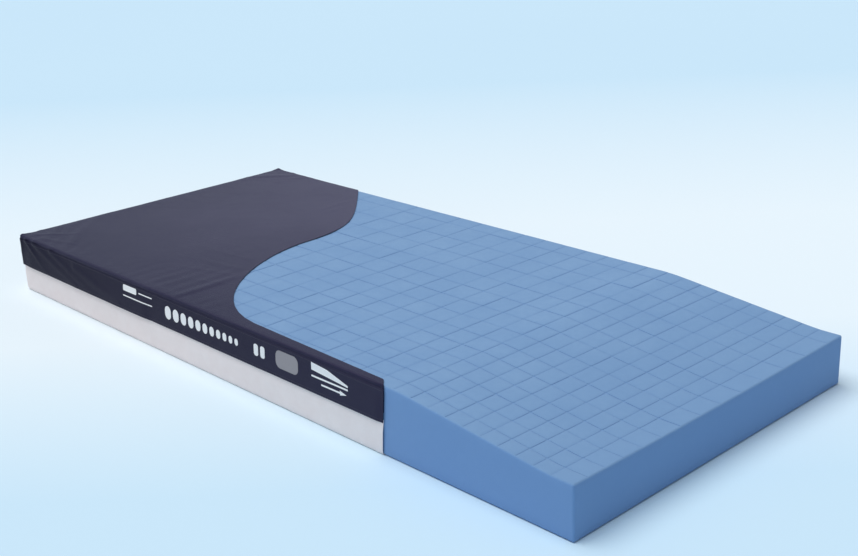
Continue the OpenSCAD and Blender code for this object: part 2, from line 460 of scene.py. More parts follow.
def close_underside(obj, last, rows, columns):
    """Closes a shell's last ring with strips across the width and a face at each end."""
    far_side = last[:rows][::-1]
    head = last[rows - 1 : rows + columns - 1]
    near_side = np.concatenate([head[-1:], last[rows + columns - 1 : 2 * rows + columns - 2]])
    foot = np.concatenate([near_side[-1:], last[2 * rows + columns - 2 :], last[:1]])
    bm = bmesh.new()
    bm.from_mesh(obj.data)
    bm.verts.ensure_lookup_table()
    v = bm.verts
    for i in range(rows - 1):
        bm.faces.new([v[k] for k in (near_side[i], far_side[i], far_side[i + 1], near_side[i + 1])])
    bm.faces.new([v[k] for k in head])
    bm.faces.new([v[k] for k in foot])
    bmesh.ops.recalc_face_normals(bm, faces=bm.faces[:])
    replace_mesh(obj, bm)


# ---- Materials ----

def math_node(tree, operation, *values):
    """Output of a new math node. Each value is a number or another node's output."""
    node = tree.nodes.new("ShaderNodeMath")
    node.operation = operation
    for socket, value in zip(node.inputs, values):
        put(tree, socket, value)
    return node.outputs[0]


def put(tree, socket, value):
    if isinstance(value, bpy.types.NodeSocket):
        tree.links.new(value, socket)
    else:
        socket.default_value = value


class Nodes:
    """Short calls for building a node material."""

    def __init__(self, name):
        self.material = bpy.data.materials.new(name)
        self.material.use_nodes = True
        self.tree = self.material.node_tree
        self.shader = self.tree.nodes["Principled BSDF"]
        surface = self.add("ShaderNodeTexCoord")
        self.place, self.facing = surface.outputs["Object"], surface.outputs["Normal"]

    def add(self, kind, **inputs):
        node = self.tree.nodes.new(kind)
        for key, value in inputs.items():
            self.put(node.inputs[key.replace("_", " ")], value)
        return node

    def put(self, socket, value):
        put(self.tree, socket, value)

    def turned(self, rotation, scale=(1, 1, 1)):
        node = self.add("ShaderNodeMapping", Vector=self.place, Rotation=rotation, Scale=scale)
        return node.outputs["Vector"]

    def noise(self, scale, detail=3.0, roughness=0.5, vector=None):
        node = self.add(
            "ShaderNodeTexNoise", Scale=scale, Detail=detail, Roughness=roughness,
            Vector=vector or self.place,
        )
        return node.outputs["Fac"]

    def cells(self, scale):
        return self.add("ShaderNodeTexVoronoi", Scale=scale, Vector=self.place).outputs["Distance"]

    def math(self, operation, *values):
        return math_node(self.tree, operation, *values)

    def split(self, vector):
        """The x, y and z of a vector."""
        return self.add("ShaderNodeSeparateXYZ", Vector=vector).outputs

    def remap(self, value, low, high, to_low=0.0, to_high=1.0):
        node = self.tree.nodes.new("ShaderNodeMapRange")
        for key, v in zip(("Value", "From Min", "From Max", "To Min", "To Max"),
                          (value, low, high, to_low, to_high)):
            self.put(node.inputs[key], v)
        return node.outputs["Result"]

    def mix(self, share, a, b):
        node = self.tree.nodes.new("ShaderNodeMix")
        node.data_type = "RGBA"
        self.put(node.inputs["Factor"], share)
        for socket, value in ((node.inputs[6], a), (node.inputs[7], b)):
            self.put(socket, value if isinstance(value, bpy.types.NodeSocket) else (*value, 1.0))
        return node.outputs[2]

    def bump(self, height, distance, strength=1.0, normal=None):
        node = self.add("ShaderNodeBump", Height=height, Distance=distance, Strength=strength)
        if normal is not None:
            self.put(node.inputs["Normal"], normal)
        return node.outputs["Normal"]

    def set(self, **inputs):
        for key, value in inputs.items():
            socket = self.shader.inputs[key.replace("_", " ")]
            if isinstance(value, tuple) and len(value) == 3:
                value = (*value, 1.0)
            self.put(socket, value)
        return self.material


def foam_material():
    n = Nodes("blue_foam")
    broad = n.noise(7.0, detail=3.0)
    mottle = n.noise(55.0, detail=5.0, roughness=0.65)
    pores = n.cells(700.0)
    fine = n.noise(1500.0, detail=2.0)
    colour = n.mix(n.remap(broad, 0.35, 0.65), (0.193, 0.340, 0.572), (0.214, 0.365, 0.594))
    colour = n.mix(n.remap(mottle, 0.35, 0.75, 0.0, 0.35), colour, (0.165, 0.300, 0.535))
    colour = n.mix(n.remap(pores, 0.05, 0.30, 0.30, 0.0), colour, (0.110, 0.215, 0.420))
    # Painted shade: the foam darkens along its slits, through the cut attribute, where shade falls in them
    cut = n.tree.nodes.new("ShaderNodeAttribute")
    cut.attribute_name = "cut"
    colour = n.mix(n.math("MULTIPLY", cut.outputs["Fac"], 0.20), colour, (0.110, 0.225, 0.460))
    # Painted shade: the top darkens over the heel slope towards the foot
    along = n.split(n.place)["X"]
    colour = n.mix(n.remap(along, SLOPE_START_X, FOOT_X, 0.0, 0.55), colour, (0.165, 0.300, 0.520))
    # Painted light: the walls, which face sideways, are tinted bluer for the blue light that the floor
    # throws on them
    upright = n.split(n.facing)["Z"]
    colour = n.mix(n.remap(upright, 0.3, 0.8, 0.60, 0.0), colour, (0.160, 0.311, 0.616))
    height = n.math("ADD", n.math("MULTIPLY", pores, 0.8), n.math("MULTIPLY", fine, 0.4))
    return n.set(
        Base_Color=colour, Roughness=n.remap(mottle, 0.3, 0.7, 0.86, 0.96),
        Specular_IOR_Level=0.15, Sheen_Weight=0.15, Sheen_Roughness=0.6,
        Normal=n.bump(height, 0.5 * MM, 0.6),
    )


def weave(n, pitch, angle=0.0):
    """Height of a plain weave with threads at that pitch, in the plan and on the walls alike."""
    turn = 2 * math.pi / pitch
    waves = [n.math("SINE", n.math("MULTIPLY", c, turn)) for c in n.split(n.turned((angle,) * 3))]
    return n.math("ADD", n.math("MULTIPLY", waves[0], waves[1]), n.math("MULTIPLY", waves[0], waves[2]))


def cover_material(name, near, far, head, head_end, head_shade_share, specular):
    """Coated nylon. Its colour runs from near to far across the width: painted light, darker on the near
    side and paler on the far side, for the light and reflection across the top. A share of the head colour
    darkens it towards the head: painted shade, which fades out at head_end."""
    n = Nodes(name)
    threads = weave(n, 1.1 * MM)
    broad = n.noise(3.5, detail=4.0)
    creases = n.noise(28.0, detail=5.0, roughness=0.6, vector=n.turned((0, 0, 0.5), (1, 2.4, 1)))
    grain = n.noise(900.0, detail=2.0)
    place = n.split(n.place)
    across = n.remap(place["Y"], -HALF_W, HALF_W)
    drift = n.math("MULTIPLY_ADD", n.remap(broad, 0.3, 0.7, -0.5, 0.5), 0.25, across)
    # Painted light: the colour runs from the dark near colour to the paler far colour across the width,
    # with a random drift
    colour = n.mix(drift, near, far)
    # Painted shade: the colour darkens towards the head, fading out at head_end
    colour = n.mix(n.remap(place["X"], HEAD_X, head_end, head_shade_share, 0.0), colour, head)
    pale_thread = tuple(1.5 * c for c in far)
    colour = n.mix(n.remap(threads, -1.5, 1.5, 0.0, 0.25), colour, pale_thread)
    height = n.math("ADD", n.math("MULTIPLY", threads, 0.25), n.math("MULTIPLY", grain, 0.5))
    normal = n.bump(creases, 1.2 * MM, 0.5)
    return n.set(
        Base_Color=colour, Roughness=n.remap(grain, 0.3, 0.7, 0.42, 0.54),
        Specular_IOR_Level=specular, Specular_Tint=(0.80, 0.80, 1.0),
        Normal=n.bump(height, 0.25 * MM, 0.5, normal),
    )


def base_material():
    n = Nodes("pale_base_fabric")
    threads = weave(n, 1.4 * MM)
    mottle = n.noise(24.0, detail=6.0, roughness=0.7)
    tint = n.noise(9.0, detail=2.0)
    colour = n.mix(n.remap(mottle, 0.35, 0.65), (0.96, 0.85, 0.84), (1.0, 0.90, 0.89))
    colour = n.mix(n.remap(tint, 0.45, 0.75, 0.0, 0.35), colour, (0.99, 0.84, 0.82))
    colour = n.mix(n.remap(threads, -1.5, 1.5, 0.10, 0.0), colour, (0.66, 0.62, 0.64))
    normal = n.bump(mottle, 0.8 * MM, 0.5)
    return n.set(
        Base_Color=colour, Roughness=0.78, Specular_IOR_Level=0.25, Sheen_Weight=0.1,
        Normal=n.bump(threads, 0.25 * MM, 0.5, normal),
    )


def sock_material():
    n = Nodes("fire_sock_knit")
    loops = weave(n, 2.2 * MM, 0.6)
    fuzz = n.noise(400.0, detail=4.0)
    colour = n.mix(n.remap(loops, -1.5, 1.5), (0.70, 0.68, 0.62), (0.84, 0.82, 0.77))
    height = n.math("ADD", loops, fuzz)
    return n.set(Base_Color=colour, Roughness=0.92, Sheen_Weight=0.3, Normal=n.bump(height, 0.4 * MM, 0.6))


def tape_material():
    n = Nodes("zip_tape_weave")
    threads = weave(n, 0.9 * MM)
    colour = n.mix(n.remap(threads, -1.5, 1.5), (0.045, 0.046, 0.060), (0.085, 0.088, 0.110))
    return n.set(Base_Color=colour, Roughness=0.8, Normal=n.bump(threads, 0.3 * MM, 0.7))


def coil_material():
    n = Nodes("zip_coil_nylon")
    wear = n.noise(300.0, detail=3.0)
    colour = n.mix(n.remap(wear, 0.4, 0.7), (0.060, 0.062, 0.080), (0.110, 0.113, 0.140))
    return n.set(
        Base_Color=colour, Roughness=0.38, Specular_IOR_Level=0.5, Normal=n.bump(wear, 0.05 * MM, 0.4)
    )


def metal_material():
    n = Nodes("cast_zip_metal")
    grain = n.noise(800.0, detail=3.0)
    marks = n.noise(160.0, detail=5.0, roughness=0.7)
    colour = n.mix(n.remap(marks, 0.4, 0.7), (0.58, 0.59, 0.61), (0.44, 0.45, 0.47))
    return n.set(
        Base_Color=colour, Metallic=1.0, Roughness=n.remap(marks, 0.3, 0.7, 0.28, 0.45),
        Normal=n.bump(grain, 0.05 * MM, 0.4),
    )


def print_material(name, light, dark):
    n = Nodes(name)
    wear = n.noise(500.0, detail=4.0)
    colour = n.mix(n.remap(wear, 0.4, 0.8, 0.0, 0.6), light, dark)
    return n.set(Base_Color=colour, Roughness=0.6, Normal=n.bump(wear, 0.1 * MM, 0.3))


FOAM = foam_material()
# The top cover: its run from near to far and its darkening at the head are painted light and shade
COVER = cover_material(
    "dark_cover_fabric", (0.0052, 0.0036, 0.025), (0.056, 0.049, 0.094),
    (0.0060, 0.0042, 0.024), HEAD_X + 0.5, 0.5, 0.15,
)
# The flap is a second copy of the cover fabric, with its colour set for the upright wall: painted shade.
# It also darkens towards the head, which is painted shade too
FLAP = cover_material(
    "dark_flap_fabric_painted_shade", (0.032, 0.029, 0.057), (0.032, 0.029, 0.057),
    (0.0065, 0.0058, 0.017), COVER_END_X, 1.0, 0.06,
)
BASE = base_material()
SOCK = sock_material()
TAPE = tape_material()
COIL = coil_material()
METAL = metal_material()
WHITE_PRINT = print_material("white_print", (0.95, 0.93, 0.93), (0.80, 0.78, 0.80))
GREY_PRINT = print_material("grey_print", (0.32, 0.29, 0.31), (0.27, 0.25, 0.27))
THREAD = print_material("dark_thread", (0.050, 0.050, 0.080), (0.030, 0.030, 0.050))


# ---- Foam core ----

def foam_top_at(x):
    """Height of the foam's top along the length, with the slope's two ends eased."""
    x = np.asarray(x, float)
    fall = (FOAM_TOP - FOOT_TOP) / (SLOPE_END_X - SLOPE_START_X)
    ease = 0.03

    def ramp(t):
        return np.where(t < -ease, 0.0, np.where(t > ease, t, (t + ease) ** 2 / (4 * ease)))

    return FOAM_TOP - fall * (ramp(x - SLOPE_START_X) - ramp(x - SLOPE_END_X))


def distance_to(places, x):
    return abs(np.asarray(x)[..., None] - places).min(-1)


def cut_fade(x, y):
    """1 over the foam's top, falling to 0 at its edges, where the cuts close up."""
    edge = np.minimum(HALF_W - abs(y), np.minimum(x - HEAD_X, FOOT_X - x))
    return smooth((edge - 1 * MM) / (4 * MM))


def cell_offsets():
    """A small height and tilt of its own for each cell."""
    rng = np.random.default_rng(11)
    shape = (len(CUTS_X) + 1, len(CUTS_Y) + 1)
    return rng.uniform(-0.25, 0.25, shape) * MM, rng.uniform(-0.005, 0.005, (2, *shape))


SLIT_HALF_W = 0.4 * MM
SLIT_DEPTH = 1.5 * MM
LIP_W = 4.5 * MM
LIP_DROP = 0.6 * MM
CUT_SHADE_W = 5.0 * MM
CELL_CORNER_R = 5 * MM
FOOT_SAG = 3.5 * MM
CELL_RISE, CELL_TILT = cell_offsets()


def in_from_cut(x, y):
    """How far inside its cell a point lies. The cells' corners are rounded, so the cuts widen there."""
    along, across = distance_to(CUTS_X, x), distance_to(CUTS_Y, y)
    r = CELL_CORNER_R
    by_corner = r - np.hypot(r - along, r - across)
    return np.where((along < r) & (across < r), by_corner, np.minimum(along, across))


def foam_height(x, y):
    inside = in_from_cut(x, y)
    slit = np.clip(1 - inside / SLIT_HALF_W, 0, 1)
    lips = np.exp(-((np.maximum(inside, 0) / LIP_W) ** 2))
    i, j = np.searchsorted(CUTS_X, x), np.searchsorted(CUTS_Y, y)
    edges_x = np.concatenate([[HEAD_X], CUTS_X, [FOOT_X]])
    edges_y = np.concatenate([[-HALF_W], CUTS_Y, [HALF_W]])
    from_x = x - (edges_x[i] + edges_x[i + 1]) / 2
    from_y = y - (edges_y[j] + edges_y[j + 1]) / 2
    own = CELL_RISE[i, j] + CELL_TILT[0, i, j] * from_x + CELL_TILT[1, i, j] * from_y
    fade = cut_fade(x, y)
    sag = FOOT_SAG * (1 - (y / HALF_W) ** 2) * smooth((x - SLOPE_START_X) / (FOOT_X - SLOPE_START_X))
    return foam_top_at(x) - sag + fade * (own * (1 - slit) - SLIT_DEPTH * slit - LIP_DROP * lips)


def make_foam():
    outline = Outline(0.0)
    edge = edge_lines(FOAM_EDGE_R)
    around_cut = [-8.0, -5.2, -3.4, -2.0, -1.0, -0.4, 0.0, 0.4, 1.0, 2.0, 3.4, 5.2, 8.0]
    by_cuts_x = [c + o * MM for c in CUTS_X for o in around_cut]
    by_cuts_y = [c + o * MM for c in CUTS_Y for o in around_cut]
    by_foot = [FOOT_X - e for e in edge]
    xs, ys = grid(outline, 18 * MM, 20 * MM, edge + corner_lines(0.0), by_cuts_x + by_foot, by_cuts_y)
    foot = FOAM_Z + FLOOR_EDGE_R
    rings = [(s, foot, 0.0) for s in (0.12, 0.35, 0.6, 0.85, 1.0)]
    for turn in (30, 60, 90):
        a = math.radians(turn)
        rings.append((1.0, foot - FLOOR_EDGE_R * math.sin(a), -FLOOR_EDGE_R * (1 - math.cos(a))))
    obj, last, rows, columns = shell("foam", outline, xs, ys, FOAM_EDGE_R, foam_height, rings, False)
    close_underside(obj, last, rows, columns)

    # The cut attribute is painted shade along the slits, which the foam material reads
    co = points_of(obj)
    on_top = np.arange(len(co)) < rows * columns
    inside = np.maximum(in_from_cut(co[:, 0], co[:, 1]), 0)
    shade_of_cut = np.exp(-((inside / CUT_SHADE_W) ** 2)) * cut_fade(co[:, 0], co[:, 1]) * on_top
    layer = obj.data.attributes.new("cut", "FLOAT", "POINT")
    layer.data.foreach_set("value", shade_of_cut)

    back, seat, calf_piece = in_zones(obj, "foam_core", finisher(FOAM, 60), cap=True)
    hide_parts("foam_back", "foam_hip_flex")
    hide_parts("foam_seat", "foam_thigh_flex")
    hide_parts("foam_thigh", "foam_calf")


# ---- Drape of the fabric ----

NEAR, FAR = -(HALF_W + COVER_D), HALF_W + COVER_D

# Pulls fanning out of the head corners, down each wall. In millimetres: how far from the corner and
# below the flap's top each starts, how far from the corner and above the flap's hem it ends, its width
# and its height
NEAR_WALL_PULLS = [
    (30, 0, 145, 6.5, 7, 3.6), (75, 0, 300, 6.5, 9, 3.2), (170, 4, 380, 8.5, 9, 2.6),
    (300, 20, 520, 12.5, 11, 2.2),
]
FAR_WALL_PULLS = [(22, 0, 150, 6.5, 7, 3.2), (80, 0, 260, 8.5, 9, 2.6)]
HEAD_NEAR_PULLS = [(20, 0, 140, 8.5, 8, 2.8), (60, 0, 270, 12.5, 9, 2.2)]
HEAD_FAR_PULLS = [(20, 0, 130, 8.5, 8, 2.8)]

# Folds in the top: plan places of the two ends in metres, width and height in millimetres
TOP_FOLDS_Z = top_high.z + 1.6 * MM
TOP_FOLDS = [
    # From the inside of the cut line's bend towards the head
    ((-0.290, -0.225), (-0.495, -0.262), 10, 0.7),
    ((-0.262, -0.262), (-0.420, -0.312), 9, 0.7),
    ((-0.325, -0.160), (-0.545, -0.190), 11, 0.5),
    ((-0.210, -0.310), (-0.350, -0.365), 10, 0.5),
    # Slack at the head corners
    ((HEAD_X + 0.035, NEAR + 0.030), (HEAD_X + 0.120, NEAR + 0.110), 9, 1.4),
    ((HEAD_X + 0.080, NEAR + 0.022), (HEAD_X + 0.210, NEAR + 0.060), 9, 1.1),
    ((HEAD_X + 0.035, FAR - 0.030), (HEAD_X + 0.130, FAR - 0.110), 9, 1.2),
]


def all_folds():
    """Soft folds: the two ends of each ridge, its width and its height."""
    folds = []
    for y in (NEAR, FAR):
        seam = ((HEAD_X, y, flap_high.z + 5 * MM), (HEAD_X, y, flap_high.z - 37 * MM))
        folds.append((*seam, 10 * MM, 3 * MM))
    walls = [
        (NEAR_WALL_PULLS, lambda from_corner: (HEAD_X + from_corner, NEAR)),
        (FAR_WALL_PULLS, lambda from_corner: (HEAD_X + from_corner, FAR)),
        (HEAD_NEAR_PULLS, lambda from_corner: (HEAD_X, NEAR + from_corner)),
        (HEAD_FAR_PULLS, lambda from_corner: (HEAD_X, FAR - from_corner)),
    ]
    for pulls, place in walls:
        for start, down, end, up, width, rise in pulls:
            a = (*place(start * MM), flap_high.z - down * MM)
            b = (*place(end * MM), flap_low.z + up * MM)
            folds.append((a, b, width * MM, rise * MM))
    for start, end, width, rise in TOP_FOLDS:
        folds.append(((*start, TOP_FOLDS_Z), (*end, TOP_FOLDS_Z), width * MM, rise * MM))
    return folds


FOLDS = all_folds()


def fold_height(points):
    """Height that the soft folds add at each point."""
    total = np.zeros(len(points))
    for a, b, width, rise in FOLDS:
        a, b = np.array(a), np.array(b)
        d = b - a
        t = ((points - a) @ d) / (d @ d)
        across = np.linalg.norm(points - a - np.clip(t, 0, 1)[:, None] * d, axis=1)
        total += rise * np.exp(-((across / width) ** 2)) * (0.35 + 0.65 * smooth(1 - t))
    return total


def wave(points, scale, seed):
    """Smooth noise from 0 to 1 at each point. The seed picks the pattern."""
    shift = Vector((seed, 2.3 * seed, -1.7 * seed))
    values = [noise.noise(Vector(p) * scale + shift) for p in points]
    return np.clip(0.5 + 0.75 * np.array(values), 0, 1)


def drape(obj, broad, fine, share=1.0):
    """Moves a fabric sheet out along its normals: broad and fine waves, and the soft folds."""
    co = points_of(obj)
    out = broad * wave(co, 7.0, 3.0) + fine * wave(co, 24.0, 9.0) + fold_height(co)
    set_points(obj, co + normals_of(obj) * (share * out)[:, None])


# ---- Fabric skins ----

SKIN = 0.9 * MM


def make_skin(obj, layer, material, skin=SKIN):
    """Finishes a fabric sheet: gives it its thickness, divides it and puts it in its CAD nodes' place."""
    back, seat, calf_piece = in_zones(obj, layer + "_fabric", finisher(material, 50, skin))
    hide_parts(layer + "_back")
    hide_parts(layer + "_seat")
    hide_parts(layer + "_thigh", layer + "_calf")


CLOTH_FRAMES = 20
CLOTH_SPARE = 0.0045
CLOTH_RISE = 3.5 * MM
CLOTH_SHARE = 0.6
CLOTH_WALL_MOVE = 0.3 * MM
RESTING_Z = FOAM_TOP + 2.0 * MM


def make_foam_envelope():
    """A plain closed body the size of the foam, for the fabric to settle on."""
    outline = Outline(0.3 * MM, FOOT_X)
    xs, ys = grid(outline, 40 * MM, 40 * MM, edge_lines(FOAM_EDGE_R, 4) + corner_lines(0.0))
    body, *_ = shell("envelope", outline, xs, ys, FOAM_EDGE_R, lambda x, y: foam_top_at(x) + 0.3 * MM,
                     [(1.0, FOAM_Z, 0.0)], False)
    body.modifiers.new("solid", "COLLISION")
    body.collision.thickness_outer = MM
    body.collision.cloth_friction = 20
    return body


def above_flap(co):
    """0 on the walls behind the flap, rising to 1 over the top edge."""
    return smooth((co[:, 2] - flap_high.z - MM) / (5 * MM))


def settle(obj, hem):
    """Lets a slightly oversized sheet settle on the foam with its hem held, and keeps a share of its
    movement. The movement is capped, and is smallest on the walls, which the flap covers."""
    body = make_foam_envelope()
    held = obj.vertex_groups.new(name="held")
    held.add([int(k) for k in hem], 1.0, "REPLACE")
    cloth = obj.modifiers.new("cloth", "CLOTH")
    fabric = cloth.settings
    fabric.quality = 6
    fabric.mass = 0.25
    fabric.tension_stiffness = fabric.compression_stiffness = 25
    fabric.shear_stiffness = 8
    fabric.bending_stiffness = 4
    fabric.tension_damping = fabric.compression_damping = fabric.shear_damping = 10
    fabric.air_damping = 4
    fabric.vertex_group_mass = "held"
    fabric.shrink_min = -CLOTH_SPARE
    fabric.effector_weights.gravity = 0.3
    cloth.collision_settings.distance_min = MM
    cloth.collision_settings.use_self_collision = False
    cloth.point_cache.frame_start, cloth.point_cache.frame_end = 1, CLOTH_FRAMES
    scene = bpy.context.scene
    start = points_of(obj)
    for step in range(1, CLOTH_FRAMES + 1):
        scene.frame_set(step)
    settled = obj.evaluated_get(bpy.context.evaluated_depsgraph_get()).to_mesh()
    move = np.array([v.co for v in settled.vertices]) - start
    obj.modifiers.clear()
    scene.frame_set(1)
    bpy.data.objects.remove(body)
    cap = CLOTH_WALL_MOVE + (CLOTH_RISE - CLOTH_WALL_MOVE) * above_flap(start)
    length = np.linalg.norm(move, axis=1)
    share = CLOTH_SHARE * np.minimum(1, cap / np.maximum(length, 1e-9))
    set_points(obj, start + share[:, None] * move)


def subdivide(obj):
    m = obj.modifiers.new("finer", "SUBSURF")
    m.levels = m.render_levels = 1
    apply_modifiers(obj)


def make_top_cover():
    d = COVER_D
    edge_r = FOAM_EDGE_R + d
    outline = fabric_outline(d)
    lines = edge_lines(edge_r, 5) + corner_lines(d)
    xs, ys = grid(outline, 11 * MM, 11 * MM, lines, closest=1.2 * MM)

    def height(x, y):
        corner = np.hypot(x - outline.low, outline.w - abs(y))
        return top_high.z + 0.4 * MM + 3.5 * MM * np.exp(-((corner / 0.018) ** 2))

    rings = [(s, top_low.z, 0.0) for s in (0.15, 0.3, 0.45, 0.6, 0.8, 1.0)]
    obj, hem, *_ = shell("top_cover", outline, xs, ys, edge_r, height, rings, True)
    settle(obj, hem)
    subdivide(obj)
    drape(obj, 1.0 * MM, 0.3 * MM, above_flap(points_of(obj)))
    lie_flat_by_cut(obj)
    cut_away(obj, uncovered)
    make_skin(obj, "top_cover", COVER)


def lie_flat_by_cut(obj):
    """Presses the top down on the foam along the cut edge, and keeps it clear of the foam elsewhere."""
    co = points_of(obj)
    flat = smooth(1 + beyond_cut(co[:, 0], co[:, 1]) / 0.06)
    on_top = co[:, 2] > RESTING_Z - 0.5 * MM
    co[:, 2] = np.where(on_top, co[:, 2] + (RESTING_Z + 0.3 * MM - co[:, 2]) * 0.8 * flat, co[:, 2])
    inner = (abs(co[:, 1]) < HALF_W - FOAM_EDGE_R) & (co[:, 0] > HEAD_X + FOAM_EDGE_R)
    co[:, 2] = np.where(inner, np.maximum(co[:, 2], RESTING_Z), co[:, 2])
    set_points(obj, co)


def wall_path(step):
    """Points round the head and both long sides of the foam, with the outward direction at each.
    They run on past the covers' cut end."""
    outline = Outline(0.0, COVER_END_X + 0.02, 0.001)
    xs, ys = grid(outline, step, step, corner_lines(0.0, 8), [COVER_END_X, *SPLITS_X])
    path = [(x, outline.w) for x in xs[::-1]] + [(outline.low, y) for y in ys[::-1][1:]]
    path += [(x, -outline.w) for x in xs[1:]]
    px, py = np.array(path).T
    qx, qy, _, out = outline.place(px, py, FOAM_EDGE_R)
    return qx, qy, out


def wall_band(name, heights, distance, step=10 * MM, mitre=False):
    """An upright band round the head and both long sides.
    distance(x, y, z) is how far it stands outside the foam. A mitre keeps its corners as tight."""
    qx, qy, out = wall_path(step)
    if mitre:
        out = out / abs(out).max(-1)[:, None]
    rings = []
    for z in heights:
        d = distance(qx, qy, z) * np.ones(len(qx))
        rings.append(np.stack([qx + out[:, 0] * d, qy + out[:, 1] * d, np.full(len(qx), z)], -1))
    index = np.arange(len(qx) * len(heights)).reshape(len(heights), len(qx))
    return new_object(name, np.concatenate(rings), quads(index))


SLIDER_START_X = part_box("zip_slider")[0].x
SLIDER_END_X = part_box("zip_slider")[1].x + JOINTS["zip_travel"]["range_m"][1]
FLAP_TUCKED_D = COVER_D + SKIN + 0.2 * MM
ZIP_ENDS_SHORT = 0.030
FLAP_OVER_COIL_D = ZIP_D + SKIN + 0.3 * MM


def flap_distance(x, y, z):
    """The flap lies close over the zip, bulges where the slider runs on the near side, and lies flat
    at its cut end, where the zip stops short."""
    if z == flap_high.z:
        return COVER_D + 0.1 * MM
    down = (flap_high.z - z) / (flap_high.z - flap_low.z)
    run = smooth((x - SLIDER_START_X + 0.06) / 0.05) * smooth((SLIDER_END_X + 0.06 - x) / 0.05)
    reach = FLAP_OVER_COIL_D + (FLAP_D - FLAP_OVER_COIL_D) * run * (y < 0)
    end = smooth((cover_end_at(z) - x) / (0.7 * ZIP_ENDS_SHORT))
    return FLAP_TUCKED_D + (reach - FLAP_TUCKED_D) * smooth(down / 0.68) * end


def hem_wander(x, y):
    points = np.stack([x, y, np.zeros(len(x))], -1)
    near_head = np.exp(-(((x - HEAD_X) / 0.25) ** 2))
    return (wave(points, 9.0, 5.0) - 0.5) * (0.6 * MM + 1.4 * MM * near_head)


def make_flap():
    low, high = flap_low.z, flap_high.z
    turn_in = [high, high - 1.5 * MM, high - 5 * MM, high - 9 * MM]
    levels = turn_in + list(np.linspace(high - 13 * MM, low, 15))
    obj = wall_band("zip_flap", levels, flap_distance, 5 * MM, mitre=True)
    co = points_of(obj)
    co[:, 2] += hem_wander(co[:, 0], co[:, 1]) * smooth((high - co[:, 2]) / (high - low))
    set_points(obj, co)
    drape(obj, 0.5 * MM, 0.25 * MM)
    cut_away(obj, uncovered)
    bvh = BVHTree.FromObject(obj, bpy.context.evaluated_depsgraph_get())
    make_skin(obj, "zip_flap", FLAP)
    return bvh


def turn_over(obj):
    """Turns a shell that was built over the foam into one that goes under it."""
    obj.data.transform(Matrix.Diagonal((1, 1, -1, 1)))
    obj.data.flip_normals()


def make_base_cover():
    d = COVER_D
    edge_r = FLOOR_EDGE_R + d
    outline = fabric_outline(d)
    xs, ys = grid(outline, 12 * MM, 16 * MM, edge_lines(edge_r) + corner_lines(d), SPLITS_X)
    rings = [(s, -base_high.z, 0.0) for s in (0.1, 0.22, 0.35, 0.5, 0.65, 0.8, 0.9, 1.0)]
    obj, *_ = shell("base_cover", outline, xs, ys, edge_r, lambda x, y: 0 * x, rings, True)
    turn_over(obj)
    co = points_of(obj)
    up_wall = smooth(co[:, 2] / (14 * MM)) * smooth((lower_zip_low.z - 2 * MM - co[:, 2]) / (16 * MM))
    out = up_wall * (1.0 * MM + 1.3 * MM * wave(co, 11.0, 4.0) + 0.5 * MM * wave(co, 37.0, 6.0))
    set_points(obj, co + normals_of(obj) * out[:, None])
    cut_away(obj, past_end)
    make_skin(obj, "base_cover", BASE)


def joined(first, second):
    """Adds the second object's mesh to the first, and removes the second."""
    bm = bmesh.new()
    bm.from_mesh(first.data)
    bm.from_mesh(second.data)
    replace_mesh(first, bm)
    bpy.data.objects.remove(second)
    return first


def make_fire_sock():
    d = SOCK_D
    set_back = COVER_END_X - sock_high.x
    split_z = base_high.z

    def half(name, edge_r, top_z, wall_low):
        outline = fabric_outline(d)
        xs, ys = grid(outline, 20 * MM, 20 * MM, edge_lines(edge_r, 5) + corner_lines(d), SPLITS_X)
        rings = [(0.5, wall_low, 0), (1.0, wall_low, 0)]
        return shell(name, outline, xs, ys, edge_r, lambda x, y: 0 * x + top_z, rings, True)[0]

    upper = half("sock", FOAM_EDGE_R + d, FOAM_TOP + 0.7 * MM, split_z)
    lower = half("sock_base", FLOOR_EDGE_R + d, -sock_low.z, -split_z)
    turn_over(lower)
    cut_away(upper, uncovered, set_back)
    cut_away(lower, past_end, set_back)
    make_skin(joined(upper, lower), "fire_sock", SOCK, 0.5 * MM)


# ---- Zip ----

TOOTH_PITCH = 2.6 * MM
TAPE_D = ZIP_D - 1.3 * MM
HEM_OVER_TAPE = 1.8 * MM


def row_of_bars(name, spacing, z, field, short, distance, size, upright=False, shift=0.0):
    """Closed six-sided bars in an even row round the wall at a height, up to that far short of where
    field(x, y, z) is positive. distance(x, y, ox, oy, z) is how far outside the foam they stand, shift
    moves them along the row, and size is their length, their width and their depth outward."""
    qx, qy, out = wall_path(10 * MM)
    run = np.concatenate([[0], np.cumsum(np.hypot(np.diff(qx), np.diff(qy)))])
    places = np.arange(spacing / 2, run[-1], spacing)
    x, y, ox, oy = (np.interp(places, run, v) for v in (qx, qy, out[:, 0], out[:, 1]))
    length = np.hypot(ox, oy)
    shown = field(x + short, y, z) < 0
    x, y, ox, oy = (v[shown] for v in (x, y, ox / length, oy / length))

    up = np.array([(0.0, 0.0, 1.0)] * len(x))
    outward, row = np.stack([ox, oy, 0 * x], -1), np.stack([-oy, ox, 0 * x], -1)
    d = distance(x, y, ox, oy, z) * np.ones(len(x))
    centres = np.stack([x, y, 0 * x + z], -1) + outward * d[:, None] + row * shift
    along = up if upright else row
    across = np.cross(along, outward)
    ring = [(-1, -1), (-1, 0.3), (-0.55, 1), (0.55, 1), (1, 0.3), (1, -1)]
    verts, faces = [], []
    for end in (-1, 1):
        for w, h in ring:
            verts.append(centres + along * (end * size[0] / 2) + across * (w * size[1] / 2)
                         + outward * (h * size[2] / 2))
    for b in range(0, 12 * len(centres), 12):
        faces += [[b + i, b + (i + 1) % 6, b + 6 + (i + 1) % 6, b + 6 + i] for i in range(6)]
        faces += [[b + i for i in range(5, -1, -1)], [b + 6 + i for i in range(6)]]
    return new_object(name, np.stack(verts, 1).reshape(-1, 3), faces)


